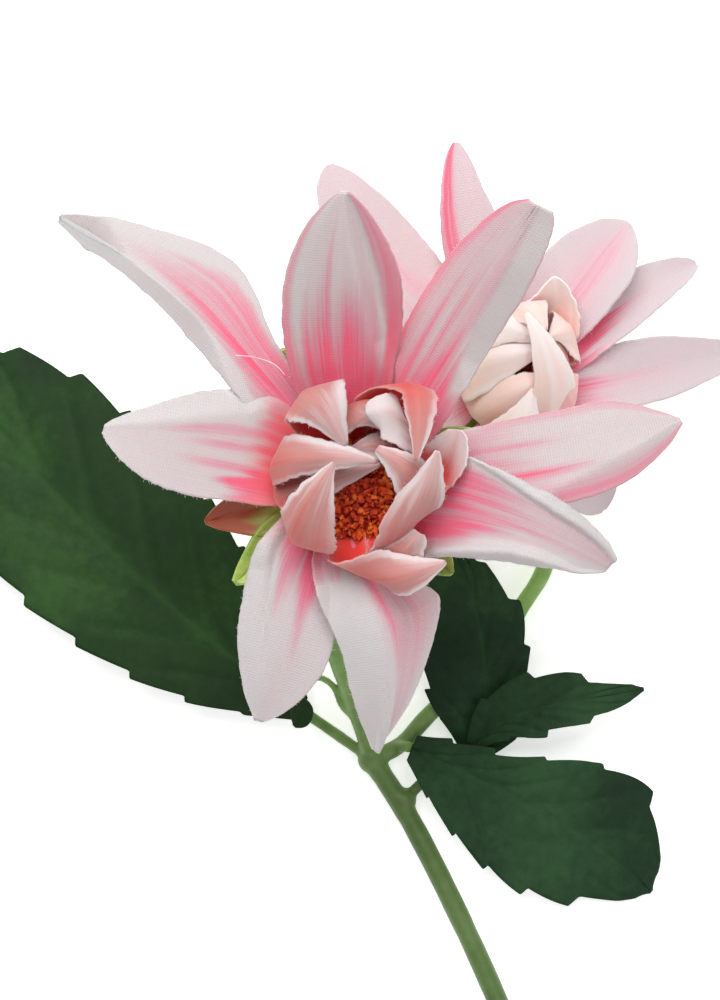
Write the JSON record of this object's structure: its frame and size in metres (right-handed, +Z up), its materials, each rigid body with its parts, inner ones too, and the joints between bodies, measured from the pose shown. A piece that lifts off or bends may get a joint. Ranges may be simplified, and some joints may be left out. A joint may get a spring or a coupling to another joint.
{
  "type": "artificial cut dahlia",
  "caption": "Artificial dahlia spray with pale pink pointed cloth blooms, toothed green leaves and a forking moulded stem, lying on a surface.",
  "frame": {"origin": "on the surface that the spray lies on, under the middle of its box", "axes": "+Z up from the surface, +Y from the cut end of the stem towards the blooms, +X to the right seen from above"},
  "size_m": [0.1858, 0.2416, 0.1002],
  "materials": {
    "stem": "satin moulded plastic",
    "calyx": "satin moulded plastic",
    "outer_petals": "woven cloth with printed pink streaks",
    "inner_petals": "woven cloth with dyed coral roots",
    "disc": "short tufted pile",
    "leaf": "pressed and coated cloth"
  },
  "bodies": {
    "root": {"stem": "stem", "front_calyx": "calyx", "front_outer_petals": "outer_petals", "front_inner_petals": "inner_petals", "front_disc": "disc", "back_calyx": "calyx", "back_outer_petals": "outer_petals", "back_inner_petals": "inner_petals", "back_disc": "disc", "leaf_left_large": "leaf", "leaf_left_small": "leaf", "leaf_right_long": "leaf", "leaf_right_narrow": "leaf", "leaf_right_broad": "leaf"}
  },
  "joints": []
}
